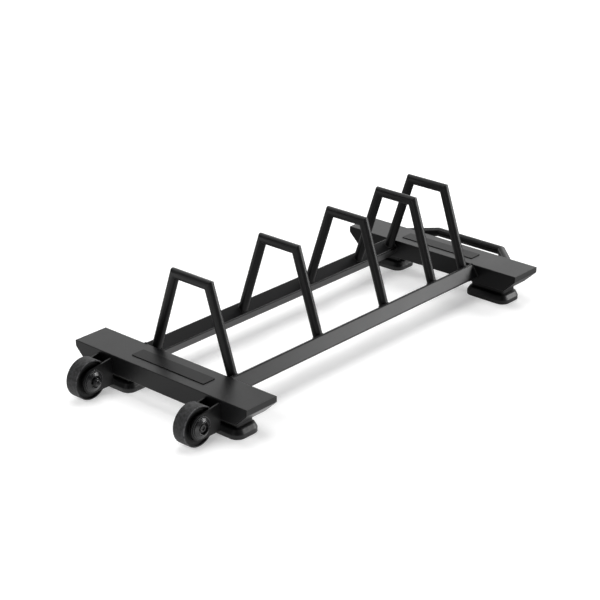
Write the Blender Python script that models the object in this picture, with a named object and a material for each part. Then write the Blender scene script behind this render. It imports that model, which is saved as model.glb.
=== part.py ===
"""Weight plate cart: a low rack for bumper plates, with two wheels at one end and a pull handle at the
other.

Metres, +Z up, standing on Z = 0. X runs from the wheel end (-) to the handle end (+) and Y across the cart,
with +Y called left. The origin is the middle of the cart's footprint.
"""

import math

import bmesh
import bpy
from mathutils import Vector

# Clearances
SEAT_GAP = 0.0003          # between pieces that touch
RUNNING_GAP = 0.0003       # between the turning wheel and its axle

# Corner radius inside every rectangular tube
INSIDE_CORNER = 0.001

# Cross beams: rectangular tube, ends cut away below and closed by bent plates
BEAM_LENGTH = 0.580
BEAM_WIDTH = 0.1016
BEAM_HEIGHT = 0.0508
BEAM_WALL = 0.0025
BEAM_CORNER = 0.002
BEAM_SPACING = 1.050       # from middle to middle
END_UPRIGHT = 0.016        # upright part of the end
END_CUT_RUN = 0.0365       # how far the slanted part runs in under the beam
END_PLATE = 0.003
END_BEND = 0.003           # outer radius of the bend in an end plate

# Rails: square tube turned about its length, so that the plates stand on a sloping face
RAIL_SIZE = 0.040
RAIL_WALL = 0.002
RAIL_CORNER = 0.004
RAIL_TILT = math.radians(33.3)
RAIL_OFFSET = 0.1413       # from the cart's middle to the rail's middle line
RAIL_RISE = 0.0005         # of the rail's round upper edge above the beams' tops

# Plate hoops: round tube with mitred corners
HOOP_TUBE = 0.0254
HOOP_WALL = 0.002
HOOP_RISE = 0.2165         # of the hoops' tops above the beams' tops
HOOP_TOP_WIDTH = 0.1136    # between the legs' middle lines, at the top bar's middle line
HOOP_LEAN = math.radians(18.5)
HOOP_FIRST = 0.0208        # from the wheel end beam to the first hoop's middle
HOOP_STEP_1 = 0.308        # from the first hoop to the second one
HOOP_STEP_2 = 0.260
HOOP_STEP_3 = 0.2035
HOOP_STEP_4 = 0.1365

# Pull handle: round tube, welded to the handle end beam
HANDLE_TUBE = 0.0254
HANDLE_WALL = 0.002
HANDLE_REACH = 0.0868      # from the beam to the grip's middle line
HANDLE_GRIP = 0.2208       # between the corners
HANDLE_SPREAD = 0.403      # between the feet, on the beam

# Wheels
WHEEL_DIAMETER = 0.101
WHEEL_WIDTH = 0.036
WHEEL_LIFT = 0.0005        # of a wheel above the floor while the cart stands on its feet
WHEEL_INSET = 0.108        # from the beam's end to a wheel's middle
AXLE_SETBACK = 0.0626      # from the beam's outer face to the axle
TYRE_EDGE = 0.002
TYRE_LIP = 0.0015          # width of the tyre's flat side
TYRE_RECESS = 0.006        # depth of the wheel's side inside the lip
HUB_RADIUS = 0.038
HUB_RIM = 0.005
HUB_WEB = 0.014            # thickness of the hub's web
BOSS_RADIUS = 0.0215
BOSS_INSET = 0.001         # of the boss's face inside the wheel's side

# Axle and what is on it
AXLE_DIAMETER = 0.012
BEARING_DIAMETER = 0.032
BEARING_WIDTH = 0.010
BEARING_SHOULDER = 0.002   # of the hub behind a bearing
SLEEVE_WALL = 0.002
SPACER_DIAMETER = 0.020
HEAD_DIAMETER = 0.018      # of the low socket head
HEAD_HEIGHT = 0.004
HEAD_CHAMFER = 0.0008
SOCKET_ACROSS = 0.010      # across the flats of the hex socket
SOCKET_DEPTH = 0.0025
NUT_ACROSS = 0.019         # across the flats of the cap nut
NUT_HEX_HEIGHT = 0.010
NUT_DOME = 0.0086          # radius of the cap
NUT_HEIGHT = 0.0215        # over the cap
NUT_DEPTH = 0.016          # of the blind hole in the nut
HEX_TURN = math.radians(15)
WASHER_DIAMETER = 0.0566
WASHER_SEAT = 0.0015       # thickness under the head
WASHER_CROWN = 0.0082      # height of the domed ring
WASHER_RECESS = 0.0155     # radius of the open recess round the head
WASHER_BRIM = 0.001        # flat width at the dome's top

# Wheel brackets: a pair of plates for each wheel
BRACKET_PLATE = 0.005
BRACKET_GAP = 0.039        # between the plates of a pair
BRACKET_END = 0.032        # radius of the round end
BRACKET_DROP = 0.0075      # of the top edge below the beam's top, at the beam
BRACKET_CORNER = 0.005

# Feet: a rubber foot screwed to a steel box under the beam
FOOT_HEIGHT = 0.0477
FOOT_INSET = 0.107         # from the beam's end to a foot's middle
PAD_LENGTH = 0.136         # along the beam
PAD_WIDTH = 0.0825
PAD_CORNER = 0.0245
PAD_HEIGHT = 0.0255
PAD_SOLE_EDGE = 0.002
PAD_SIDE_TOP = 0.0115      # height of the upright side
PAD_SHOULDER_TOP = 0.0232
PAD_SHOULDER_INSET = 0.0065
PAD_CROWN_INSET = 0.0105
BOX_LENGTH = 0.108
BOX_WIDTH = 0.052
BOX_CORNER = 0.005
BOX_WALL = 0.003
SCREW_DIAMETER = 0.008
SCREW_SPACING = 0.066
SCREW_HEAD_DIAMETER = 0.015
SCREW_HEAD_HEIGHT = 0.0045
SCREW_RECESS = 0.009       # depth of the recess in the sole
SCREW_STICK_OUT = 0.006    # past the box's floor

# Bare plates on the beams
PLATE_LENGTH = 0.244
PLATE_WIDTH = 0.040
PLATE_THICKNESS = 0.0015
PLATE_CORNER = 0.003

# Steps round a circle
TUBE_SIDES = 20
WHEEL_SIDES = 36
TURNED_SIDES = 20
SCREW_SIDES = 12
NUT_SIDES = 18
DOME_STEPS = 5
CORNER_STEPS = 3

# Places that follow
FOOT_OFFSET = BEAM_LENGTH / 2 - FOOT_INSET
WHEEL_OFFSET = BEAM_LENGTH / 2 - WHEEL_INSET
BEAM_BOTTOM = FOOT_HEIGHT
BEAM_TOP = BEAM_BOTTOM + BEAM_HEIGHT
WHEEL_RADIUS = WHEEL_DIAMETER / 2
WHEEL_END_LENGTH = AXLE_SETBACK + WHEEL_RADIUS
HANDLE_END_LENGTH = HANDLE_REACH + HANDLE_TUBE / 2
MIDDLE_X = (WHEEL_END_LENGTH - HANDLE_END_LENGTH) / 2
WHEEL_BEAM_X = MIDDLE_X - BEAM_SPACING / 2
HANDLE_BEAM_X = MIDDLE_X + BEAM_SPACING / 2
WHEEL_FACE_X = WHEEL_BEAM_X - BEAM_WIDTH / 2
HANDLE_FACE_X = HANDLE_BEAM_X + BEAM_WIDTH / 2
AXLE_X = WHEEL_FACE_X - AXLE_SETBACK
AXLE_Z = WHEEL_RADIUS + WHEEL_LIFT
RAIL_FLAT_HALF = RAIL_SIZE / 2 - RAIL_CORNER
RAIL_EDGE = RAIL_FLAT_HALF * (math.cos(RAIL_TILT) + math.sin(RAIL_TILT)) + RAIL_CORNER
RAIL_Z = BEAM_TOP + RAIL_RISE - RAIL_EDGE
SIDES = {"left": 1, "right": -1}


def clear_scene():
    for item in list(bpy.data.objects):
        bpy.data.objects.remove(item, do_unlink=True)


def material(name, colour, roughness, metallic=0.0):
    made = bpy.data.materials.new(name)
    made.use_nodes = True
    shader = made.node_tree.nodes["Principled BSDF"]
    shader.inputs["Base Color"].default_value = (*colour, 1.0)
    shader.inputs["Roughness"].default_value = roughness
    shader.inputs["Metallic"].default_value = metallic
    return made


def piece(name, bm, finish, location=(0.0, 0.0, 0.0), smooth=None):
    """An object from a bmesh with its normals outward; smooth is the sharpest angle still shaded smooth."""
    bmesh.ops.recalc_face_normals(bm, faces=bm.faces)
    mesh = bpy.data.meshes.new(name)
    bm.to_mesh(mesh)
    bm.free()
    if smooth:
        mesh.shade_smooth()
        mesh.set_sharp_from_angle(angle=math.radians(smooth))
    made = bpy.data.objects.new(name, mesh)
    made.location = location
    bpy.context.collection.objects.link(made)
    mesh.materials.append(finish)
    return made


def shape_with(target, other, operation="DIFFERENCE"):
    """Cut target with another object, or keep what they share; the other one becomes a hidden guide."""
    other.hide_render = True
    other.display_type = "WIRE"
    step = target.modifiers.new(operation.lower(), "BOOLEAN")
    step.operation = operation
    step.solver = "EXACT"
    step.object = other


def guide(name, bm, location=(0.0, 0.0, 0.0)):
    return piece(name, bm, GUIDE, location)


def skin(rings, closed=False):
    """A surface through rings of points. closed joins the last ring to the first, else both ends are
    capped."""
    bm = bmesh.new()
    loops = [[bm.verts.new(point) for point in ring] for ring in rings]
    pairs = list(zip(loops, loops[1:]))
    if closed:
        pairs.append((loops[-1], loops[0]))
    else:
        bm.faces.new(loops[0])
        bm.faces.new(loops[-1])
    for here, there in pairs:
        for i, corner in enumerate(here):
            bm.faces.new((here[i - 1], corner, there[i], there[i - 1]))
    return bm


def rounded_rectangle(width, height, radius, steps=CORNER_STEPS):
    """Outline of a rectangle about its middle, with a quarter circle of steps at each corner."""
    outline = []
    for turn, (side_a, side_b) in enumerate(((1, 1), (-1, 1), (-1, -1), (1, -1))):
        for step in range(steps + 1):
            angle = math.pi / 2 * (turn + step / steps)
            outline.append((side_a * (width / 2 - radius) + radius * math.cos(angle),
                            side_b * (height / 2 - radius) + radius * math.sin(angle)))
    return outline


def rounded(points, radii, steps=CORNER_STEPS):
    """A polygon with each corner of non-zero radius replaced by an arc of steps."""
    outline = []
    for i, radius in enumerate(radii):
        corner = Vector(points[i])
        if radius == 0:
            outline.append(tuple(corner))
            continue
        back = (Vector(points[i - 1]) - corner).normalized()
        ahead = (Vector(points[(i + 1) % len(points)]) - corner).normalized()
        half = back.angle(ahead) / 2
        bisector = (back + ahead).normalized()
        middle = corner + bisector * radius / math.sin(half)
        toward_corner = math.atan2(-bisector.y, -bisector.x)
        turn = math.copysign(math.pi / 2 - half, ahead.cross(back))
        for step in range(steps + 1):
            angle = toward_corner + turn * (2 * step / steps - 1)
            outline.append((middle.x + radius * math.cos(angle), middle.y + radius * math.sin(angle)))
    return outline


def prism(outline, place, low, high):
    """A solid bar of the given outline; place(a, b, along) gives a point of it."""
    return skin([[place(a, b, along) for a, b in outline] for along in (low, high)])


def pipe(outer, inner, place, low, high):
    """A straight tube between two outlines of as many points."""
    rings = [[place(a, b, along) for a, b in outline]
             for outline, along in ((outer, low), (outer, high), (inner, high), (inner, low))]
    return skin(rings, closed=True)


def along_x(a, b, along):
    return (along, a, b)


def along_y(a, b, along):
    return (a, along, b)


def along_z(a, b, along):
    return (a, b, along)


def turned(outline, sides, solid=False):
    """Spin (radius, along) points about Y. A solid outline starts and ends on the axis, a ring's closes."""
    bm = bmesh.new()
    points = [bm.verts.new((radius, along, 0.0)) for radius, along in outline]
    ends = points[1:] if solid else points[1:] + points[:1]
    edges = [bm.edges.new(pair) for pair in zip(points, ends)]
    bmesh.ops.spin(bm, geom=points + edges, cent=(0, 0, 0), axis=(0, 1, 0), angle=2 * math.pi, steps=sides)
    bmesh.ops.remove_doubles(bm, verts=bm.verts, dist=0.00001)
    return bm


def mirrored(outline):
    """A turned outline of one half, with the other half added on the far side of along = 0."""
    return outline + [(radius, -along) for radius, along in reversed(outline)]


def circle(radius, sides):
    """Outline of a regular polygon about the origin."""
    turns = [2 * math.pi * i / sides for i in range(sides)]
    return [(radius * math.cos(turn), radius * math.sin(turn)) for turn in turns]


def cylinder(radius, low, high, sides):
    """A round guide along Z."""
    return prism(circle(radius, sides), along_z, low, high)


def joined(*parts):
    """One bmesh from several that stay apart."""
    whole = bmesh.new()
    for part in parts:
        mesh = bpy.data.meshes.new("joined")
        part.to_mesh(mesh)
        part.free()
        whole.from_mesh(mesh)
        bpy.data.meshes.remove(mesh)
    return whole


def bent_tube(path, flat, radius, wall, ends):
    """A round tube with mitred corners along a path in one plane, whose normal is flat. Each end is cut
    by a plane, given as a point and a normal."""
    steps = [(b - a).normalized() for a, b in zip(path, path[1:])]
    planes = [ends[0]]
    planes += [(corner, before + after) for corner, before, after in zip(path[1:], steps, steps[1:])]
    planes += [ends[1]]

    def ring(index, size):
        direction = steps[min(index, len(steps) - 1)]
        across = flat.cross(direction)
        point, normal = planes[index]
        points = []
        for side in range(TUBE_SIDES):
            angle = 2 * math.pi * side / TUBE_SIDES
            start = path[index] + size * (math.cos(angle) * flat + math.sin(angle) * across)
            points.append(start + direction * ((point - start).dot(normal) / direction.dot(normal)))
        return points

    order = range(len(path))
    outside = [ring(i, radius) for i in order]
    inside = [ring(i, radius - wall) for i in reversed(order)]
    return skin(outside + inside, closed=True)


def end_outline(inset):
    """The three corners of a beam's end, (y, z) from the beam's middle, moved in by inset."""
    run, drop = END_CUT_RUN, BEAM_HEIGHT - END_UPRIGHT
    slope = run / drop
    slant = inset * math.hypot(run, drop) / drop
    y = BEAM_LENGTH / 2 - inset
    bottom = -BEAM_HEIGHT / 2
    foot_y = BEAM_LENGTH / 2 - run - slant
    knee_z = bottom + (y - foot_y) / slope
    return [(y, BEAM_HEIGHT / 2), (y, knee_z), (foot_y, bottom)]


def beam(name, x):
    """The tube without its ends, cut to the slant at both ends."""
    middle = (x, 0.0, BEAM_BOTTOM + BEAM_HEIGHT / 2)
    outside = rounded_rectangle(BEAM_WIDTH, BEAM_HEIGHT, BEAM_CORNER)
    walls = 2 * BEAM_WALL
    inside = rounded_rectangle(BEAM_WIDTH - walls, BEAM_HEIGHT - walls, INSIDE_CORNER)
    (end_y, _), knee, foot = end_outline(END_PLATE + SEAT_GAP)
    tube = piece(name, pipe(outside, inside, along_y, -end_y, end_y), BLACK_COAT, middle, smooth=40)

    slant = Vector(foot) - Vector(knee)
    above = Vector(knee) - slant
    below = Vector(foot) + slant
    wedge = [tuple(above), tuple(below), (above.x, below.y)]
    reach = BEAM_WIDTH
    ends = [prism([(side * y, z) for y, z in wedge], along_x, -reach, reach) for side in SIDES.values()]
    shape_with(tube, guide(name + "_end_cut", joined(*ends), middle))

    bar = guide(name + "_outline", prism(outside, along_y, -BEAM_LENGTH, BEAM_LENGTH), middle)
    top, knee, foot = end_outline(0.0)
    top_in, knee_in, foot_in = end_outline(END_PLATE)
    section = rounded([top, knee, foot, foot_in, knee_in, top_in], [0, END_BEND, 0, 0, 0, 0])
    for side_name, side in SIDES.items():
        outline = [(side * y, z) for y, z in section]
        strip = prism(outline, along_x, -reach, reach)
        plate = piece(f"{name}_{side_name}_end", strip, BLACK_COAT, middle, smooth=40)
        shape_with(plate, bar, "INTERSECT")


def rail(name, side):
    inner_face = BEAM_SPACING / 2 - BEAM_WIDTH / 2 - SEAT_GAP
    outside = rounded_rectangle(RAIL_SIZE, RAIL_SIZE, RAIL_CORNER)
    inside = rounded_rectangle(RAIL_SIZE - 2 * RAIL_WALL, RAIL_SIZE - 2 * RAIL_WALL, INSIDE_CORNER)
    middle = (MIDDLE_X, side * RAIL_OFFSET, RAIL_Z)
    bar = pipe(outside, inside, along_x, -inner_face, inner_face)
    tube = piece(name, bar, BLACK_COAT, middle, smooth=40)
    tube.rotation_euler.x = side * RAIL_TILT


def rail_face(x, side):
    """The sloping face that the hoops stand on, as a point and a normal."""
    normal = Vector((0.0, -side * math.sin(RAIL_TILT), math.cos(RAIL_TILT)))
    middle = Vector((x, side * RAIL_OFFSET, RAIL_Z))
    return middle + normal * (RAIL_SIZE / 2 + SEAT_GAP), normal


def hoop(name, x):
    top = BEAM_TOP + HOOP_RISE - HOOP_TUBE / 2
    leg = top - RAIL_Z
    foot_y = HOOP_TOP_WIDTH / 2 + leg * math.tan(HOOP_LEAN)
    path = [Vector((x, -foot_y, RAIL_Z)), Vector((x, -HOOP_TOP_WIDTH / 2, top)),
            Vector((x, HOOP_TOP_WIDTH / 2, top)), Vector((x, foot_y, RAIL_Z))]
    ends = (rail_face(x, -1), rail_face(x, 1))
    tube = bent_tube(path, Vector((1, 0, 0)), HOOP_TUBE / 2, HOOP_WALL, ends)
    piece(name, tube, BLACK_COAT, smooth=40)


def pull_handle():
    z = BEAM_BOTTOM + BEAM_HEIGHT / 2
    grip_x = HANDLE_FACE_X + HANDLE_REACH
    path = [Vector((HANDLE_FACE_X, -HANDLE_SPREAD / 2, z)), Vector((grip_x, -HANDLE_GRIP / 2, z)),
            Vector((grip_x, HANDLE_GRIP / 2, z)), Vector((HANDLE_FACE_X, HANDLE_SPREAD / 2, z))]
    face = (Vector((HANDLE_FACE_X + SEAT_GAP, 0.0, z)), Vector((1, 0, 0)))
    tube = bent_tube(path, Vector((0, 0, 1)), HANDLE_TUBE / 2, HANDLE_WALL, (face, face))
    piece("pull_handle", tube, BLACK_COAT, smooth=40)


def bracket_outline():
    """One bracket plate, (x, z) from the axle: square at the beam, round about the axle, its top edge
    running down from the beam to touch the round end."""
    back = AXLE_SETBACK - SEAT_GAP
    shoulder = Vector((back, BEAM_TOP - BRACKET_DROP - AXLE_Z))
    to_touch = math.atan2(shoulder.y, shoulder.x) + math.acos(BRACKET_END / shoulder.length)
    outline = rounded([(0.0, -BRACKET_END), (back, -BRACKET_END), tuple(shoulder)], [0, BRACKET_CORNER, 0])
    steps = TURNED_SIDES // 2
    for step in range(steps):
        angle = to_touch + (1.5 * math.pi - to_touch) * step / steps
        outline.append((BRACKET_END * math.cos(angle), BRACKET_END * math.sin(angle)))
    return outline


def wheel_brackets(side_name, side):
    for place, low in (("inner", -BRACKET_GAP / 2 - BRACKET_PLATE), ("outer", BRACKET_GAP / 2)):
        low, high = sorted((side * low, side * (low + BRACKET_PLATE)))
        middle = (AXLE_X, side * WHEEL_OFFSET, AXLE_Z)
        name = f"{side_name}_wheel_{place}_bracket"
        plate = piece(name, prism(bracket_outline(), along_y, low, high), BLACK_COAT, middle, smooth=40)
        hole = turned([(0.0, -WHEEL_WIDTH), (AXLE_DIAMETER / 2 + SEAT_GAP, -WHEEL_WIDTH),
                       (AXLE_DIAMETER / 2 + SEAT_GAP, WHEEL_WIDTH), (0.0, WHEEL_WIDTH)], TURNED_SIDES, solid=True)
        shape_with(plate, guide(name + "_hole", hole, middle))


def cap_nut(bore):
    """A hexagon nut with a round cap and a blind hole, its seat at Y = 0 and its cap toward -Y."""
    turns = [2 * math.pi * i / NUT_SIDES for i in range(NUT_SIDES)]
    to_flat = [math.cos((turn - HEX_TURN) % (math.pi / 3) - math.pi / 6) for turn in turns]
    hexagon = [NUT_ACROSS / 2 / cosine for cosine in to_flat]
    levels = [([bore] * NUT_SIDES, NUT_DEPTH), ([bore] * NUT_SIDES, 0.0)]
    levels += [(hexagon, 0.0), (hexagon, NUT_HEX_HEIGHT), ([NUT_DOME] * NUT_SIDES, NUT_HEX_HEIGHT)]
    for step in range(DOME_STEPS):
        angle = math.pi / 2 * step / DOME_STEPS
        dome = NUT_HEIGHT - NUT_DOME * (1 - math.sin(angle))
        levels.append(([NUT_DOME * math.cos(angle)] * NUT_SIDES, dome))
    rings = []
    for radii, depth in levels:
        corners = zip(radii, turns)
        rings.append([(radius * math.cos(turn), -depth, radius * math.sin(turn)) for radius, turn in corners])
    return skin(rings)


def wheel(side_name, side):
    """The turning pieces and the axle. Each outline is (radius, outward); the right wheel is turned round,
    so that its bolt's head also faces outward."""
    middle = (AXLE_X, side * WHEEL_OFFSET, AXLE_Z)
    half = WHEEL_WIDTH / 2
    bore = AXLE_DIAMETER / 2 + RUNNING_GAP
    bearing_half = BEARING_WIDTH / 2
    recess = half - TYRE_RECESS
    boss = half - BOSS_INSET
    bearing_back = boss - BEARING_WIDTH
    lip = WHEEL_RADIUS - TYRE_EDGE - TYRE_LIP

    def on_axle(name, bm, finish, outward=0.0):
        place = (middle[0], middle[1] + side * outward, middle[2])
        made = piece(f"{side_name}_{name}", bm, finish, place, smooth=35)
        made.rotation_euler.z = math.pi * (side < 0)
        return made

    shoulder = []
    for angle in (0, math.pi / 6, math.pi / 3, math.pi / 2):
        inset = TYRE_EDGE * (1 - math.sin(angle))
        shoulder.append((WHEEL_RADIUS - inset, half - TYRE_EDGE * (1 - math.cos(angle))))
    tyre = mirrored([(HUB_RADIUS, recess), (lip - TYRE_RECESS / 2, recess), (lip, half)] + shoulder)
    on_axle("tyre", turned(tyre, WHEEL_SIDES), TYRE_RUBBER)

    bearing_seat = BEARING_DIAMETER / 2 + SEAT_GAP
    hub_bore = BEARING_DIAMETER / 2 - BEARING_SHOULDER
    rim = HUB_RADIUS - HUB_RIM
    hub = mirrored([
        (hub_bore, bearing_back - SEAT_GAP), (bearing_seat, bearing_back - SEAT_GAP), (bearing_seat, boss),
        (BOSS_RADIUS, boss), (BOSS_RADIUS, HUB_WEB / 2), (rim, HUB_WEB / 2), (rim, recess),
        (HUB_RADIUS - SEAT_GAP, recess),
    ])
    on_axle("wheel_hub", turned(hub, WHEEL_SIDES), HUB_PLASTIC)

    bearing = mirrored([(bore, bearing_half), (BEARING_DIAMETER / 2, bearing_half)])
    for place, sign in (("inner", -1), ("outer", 1)):
        spot = sign * (boss - bearing_half)
        on_axle(f"{place}_bearing", turned(bearing, TURNED_SIDES), BEARING_STEEL, spot)

    sleeve_half = bearing_back - SEAT_GAP
    sleeve = mirrored([(bore, sleeve_half), (bore + SLEEVE_WALL, sleeve_half)])
    on_axle("bearing_sleeve", turned(sleeve, TURNED_SIDES), BRIGHT_STEEL)

    spacer_half = (BRACKET_GAP / 2 - boss) / 2 - SEAT_GAP
    spacer = mirrored([(bore, spacer_half), (SPACER_DIAMETER / 2, spacer_half)])
    for place, sign in (("inner", -1), ("outer", 1)):
        spot = sign * (BRACKET_GAP / 2 + boss) / 2
        on_axle(f"{place}_axle_spacer", turned(spacer, TURNED_SIDES), BRIGHT_STEEL, spot)

    washer_face = BRACKET_GAP / 2 + BRACKET_PLATE + SEAT_GAP
    dome_in = WASHER_RECESS + WASHER_BRIM
    dome_run = WASHER_DIAMETER / 2 - dome_in
    dome = []
    for step in range(DOME_STEPS + 1):
        angle = math.pi / 2 * (1 - step / DOME_STEPS)
        dome.append((dome_in + dome_run * math.cos(angle), WASHER_CROWN * math.sin(angle)))
    washer = [(bore, 0.0), (bore, WASHER_SEAT), (WASHER_RECESS, WASHER_SEAT), (WASHER_RECESS, WASHER_CROWN)]
    washer += dome
    on_axle("outer_domed_washer", turned(washer, TURNED_SIDES), BLACK_STEEL, washer_face)
    facing_in = [(radius, -along) for radius, along in washer]
    on_axle("inner_domed_washer", turned(facing_in, TURNED_SIDES), BLACK_STEEL, -washer_face)

    head_seat = washer_face + WASHER_SEAT + SEAT_GAP
    head_top = head_seat + HEAD_HEIGHT
    tip = head_seat + NUT_DEPTH
    shank = AXLE_DIAMETER / 2
    head = HEAD_DIAMETER / 2
    end = SEAT_GAP - tip
    bolt = on_axle("axle_bolt", turned([
        (0.0, end), (shank - HEAD_CHAMFER, end), (shank, end + HEAD_CHAMFER), (shank, head_seat),
        (head, head_seat), (head, head_top - HEAD_CHAMFER), (head - HEAD_CHAMFER, head_top), (0.0, head_top),
    ], TURNED_SIDES, solid=True), BLACK_STEEL)
    hexagon = prism(circle(SOCKET_ACROSS / math.sqrt(3), 6), along_y, head_top - SOCKET_DEPTH, 2 * head_top)
    key = guide(bolt.name + "_socket", hexagon, middle)
    key.rotation_euler = (0.0, HEX_TURN, bolt.rotation_euler.z)
    shape_with(bolt, key)
    on_axle("axle_nut", cap_nut(bore), BLACK_STEEL, -head_seat)


def foot(place, x, y):
    """A steel box under the beam, a rubber foot below it and the two screws that join them."""
    floor_wall = PAD_HEIGHT + SEAT_GAP
    box_top = BEAM_BOTTOM - SEAT_GAP
    outline = rounded_rectangle(BOX_WIDTH, BOX_LENGTH, BOX_CORNER)
    hollow = rounded_rectangle(BOX_WIDTH - 2 * BOX_WALL, BOX_LENGTH - 2 * BOX_WALL, INSIDE_CORNER)
    middle = (x, y, 0.0)
    block = prism(outline, along_z, floor_wall, box_top)
    box = piece(f"{place}_foot_box", block, BLACK_COAT, middle, smooth=40)
    inside = prism(hollow, along_z, floor_wall + BOX_WALL, box_top - BOX_WALL)
    shape_with(box, guide(f"{place}_foot_box_hollow", inside, middle))

    levels = (
        (0.0, PAD_SOLE_EDGE), (PAD_SOLE_EDGE, 0.0), (PAD_SIDE_TOP, 0.0),
        (PAD_SHOULDER_TOP, PAD_SHOULDER_INSET), (PAD_HEIGHT, PAD_CROWN_INSET),
    )
    rings = []
    for z, inset in levels:
        ring = rounded_rectangle(PAD_WIDTH - 2 * inset, PAD_LENGTH - 2 * inset, PAD_CORNER - inset)
        rings.append([(a, b, z) for a, b in ring])
    pad = piece(f"{place}_rubber_foot", skin(rings), FOOT_RUBBER, middle, smooth=40)

    shank = SCREW_DIAMETER / 2
    head = SCREW_HEAD_DIAMETER / 2
    seat = SCREW_RECESS - SEAT_GAP
    end = floor_wall + BOX_WALL + SCREW_STICK_OUT
    for number, step in enumerate((-1, 1), start=1):
        spot = (x, y + step * SCREW_SPACING / 2, 0.0)
        hole = cylinder(shank + SEAT_GAP, -PAD_HEIGHT, floor_wall + 1.5 * BOX_WALL, SCREW_SIDES)
        recess = cylinder(head + SEAT_GAP, -PAD_HEIGHT, SCREW_RECESS, SCREW_SIDES)
        bore = guide(f"{place}_screw_hole_{number}", hole, spot)
        shape_with(box, bore)
        shape_with(pad, bore)
        shape_with(pad, guide(f"{place}_screw_recess_{number}", recess, spot))
        steps = ((head, seat - SCREW_HEAD_HEIGHT), (head, seat), (shank, seat), (shank, end))
        screw = skin([[(*point, z) for point in circle(radius, SCREW_SIDES)] for radius, z in steps])
        piece(f"{place}_foot_screw_{number}", screw, BRIGHT_STEEL, spot, smooth=40)


def bare_plate(name, x):
    outline = rounded_rectangle(PLATE_WIDTH, PLATE_LENGTH, PLATE_CORNER)
    low = BEAM_TOP + SEAT_GAP
    strip = prism(outline, along_z, low, low + PLATE_THICKNESS)
    piece(name, strip, PLATE_COAT, (x, 0.0, 0.0), smooth=40)


clear_scene()

GUIDE = material("guide", (0.8, 0.8, 0.8), 0.5)
BLACK_COAT = material("black_powder_coat", (0.020, 0.020, 0.021), 0.45)
PLATE_COAT = material("plate_coat", (0.012, 0.012, 0.013), 0.40)
BLACK_STEEL = material("black_steel", (0.022, 0.022, 0.023), 0.35, 0.6)
BRIGHT_STEEL = material("bright_steel", (0.45, 0.45, 0.46), 0.35, 1.0)
BEARING_STEEL = material("bearing_steel", (0.50, 0.50, 0.51), 0.25, 1.0)
TYRE_RUBBER = material("tyre_rubber", (0.030, 0.030, 0.031), 0.75)
HUB_PLASTIC = material("hub_plastic", (0.012, 0.012, 0.012), 0.50)
FOOT_RUBBER = material("foot_rubber", (0.022, 0.022, 0.023), 0.60)

beam("wheel_end_beam", WHEEL_BEAM_X)
beam("handle_end_beam", HANDLE_BEAM_X)
bare_plate("wheel_end_plate", WHEEL_BEAM_X)
bare_plate("handle_end_plate", HANDLE_BEAM_X)
pull_handle()

hoop_x = WHEEL_BEAM_X + BEAM_WIDTH / 2 + HOOP_FIRST
hoop_steps = (0.0, HOOP_STEP_1, HOOP_STEP_2, HOOP_STEP_3, HOOP_STEP_4)
for number, step in enumerate(hoop_steps, start=1):
    hoop_x += step
    hoop(f"plate_hoop_{number}", hoop_x)

for side_name, side in SIDES.items():
    rail(f"{side_name}_rail", side)
    wheel_brackets(side_name, side)
    wheel(side_name, side)
    foot(f"wheel_end_{side_name}", WHEEL_BEAM_X, side * FOOT_OFFSET)
    foot(f"handle_end_{side_name}", HANDLE_BEAM_X, side * FOOT_OFFSET)
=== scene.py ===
"""Looks of the weight plate cart: every piece of it in its finish, on a pale floor in soft studio light.

Metres, +Z up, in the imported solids' frame: -X is the wheel end, +X the handle end and +Y the left side.
"""

import math

import bmesh
import bpy
import numpy as np
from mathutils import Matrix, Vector


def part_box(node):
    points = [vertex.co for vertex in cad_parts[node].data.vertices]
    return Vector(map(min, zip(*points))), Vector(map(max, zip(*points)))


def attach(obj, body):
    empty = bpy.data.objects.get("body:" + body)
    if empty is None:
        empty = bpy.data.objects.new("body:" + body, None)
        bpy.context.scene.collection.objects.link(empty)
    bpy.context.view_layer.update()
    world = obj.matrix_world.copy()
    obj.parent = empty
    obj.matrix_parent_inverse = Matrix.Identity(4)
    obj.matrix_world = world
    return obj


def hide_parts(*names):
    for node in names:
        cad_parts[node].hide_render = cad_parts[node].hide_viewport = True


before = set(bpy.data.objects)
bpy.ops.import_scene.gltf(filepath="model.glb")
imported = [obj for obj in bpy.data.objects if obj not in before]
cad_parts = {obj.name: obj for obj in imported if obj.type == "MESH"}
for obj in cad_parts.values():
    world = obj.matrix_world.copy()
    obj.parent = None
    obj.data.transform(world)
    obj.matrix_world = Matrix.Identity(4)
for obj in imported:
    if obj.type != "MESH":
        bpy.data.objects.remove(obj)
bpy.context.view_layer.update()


# The view: a long lens, a little above the cart, looking at its wheel end and its right-hand side.
VIEW_TARGET = Vector((-0.0614, 0.0, 0.1248))
VIEW_AZIMUTH = math.radians(-48.35)
VIEW_ELEVATION = math.radians(23.35)
VIEW_DISTANCE = 4.396
VIEW_LENS_MM = 102.94
VIEW_SENSOR_MM = 36.0


def direction(azimuth, elevation):
    """Unit vector towards a place at these angles; azimuth 0 is -Y, and it grows towards +X."""
    flat = math.cos(elevation)
    return Vector((math.sin(azimuth) * flat, -math.cos(azimuth) * flat, math.sin(elevation)))


def aim(item, spot, target):
    """Puts a camera or a lamp at spot and turns it to face target."""
    item.location = spot
    item.rotation_euler = (target - spot).to_track_quat("-Z", "Y").to_euler()


view_data = bpy.data.cameras.new("view")
view_data.lens = VIEW_LENS_MM
view_data.sensor_width = VIEW_SENSOR_MM
view = bpy.data.objects.new("view", view_data)
bpy.context.scene.collection.objects.link(view)
aim(view, VIEW_TARGET + VIEW_DISTANCE * direction(VIEW_AZIMUTH, VIEW_ELEVATION), VIEW_TARGET)
bpy.context.scene.camera = view


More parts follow.
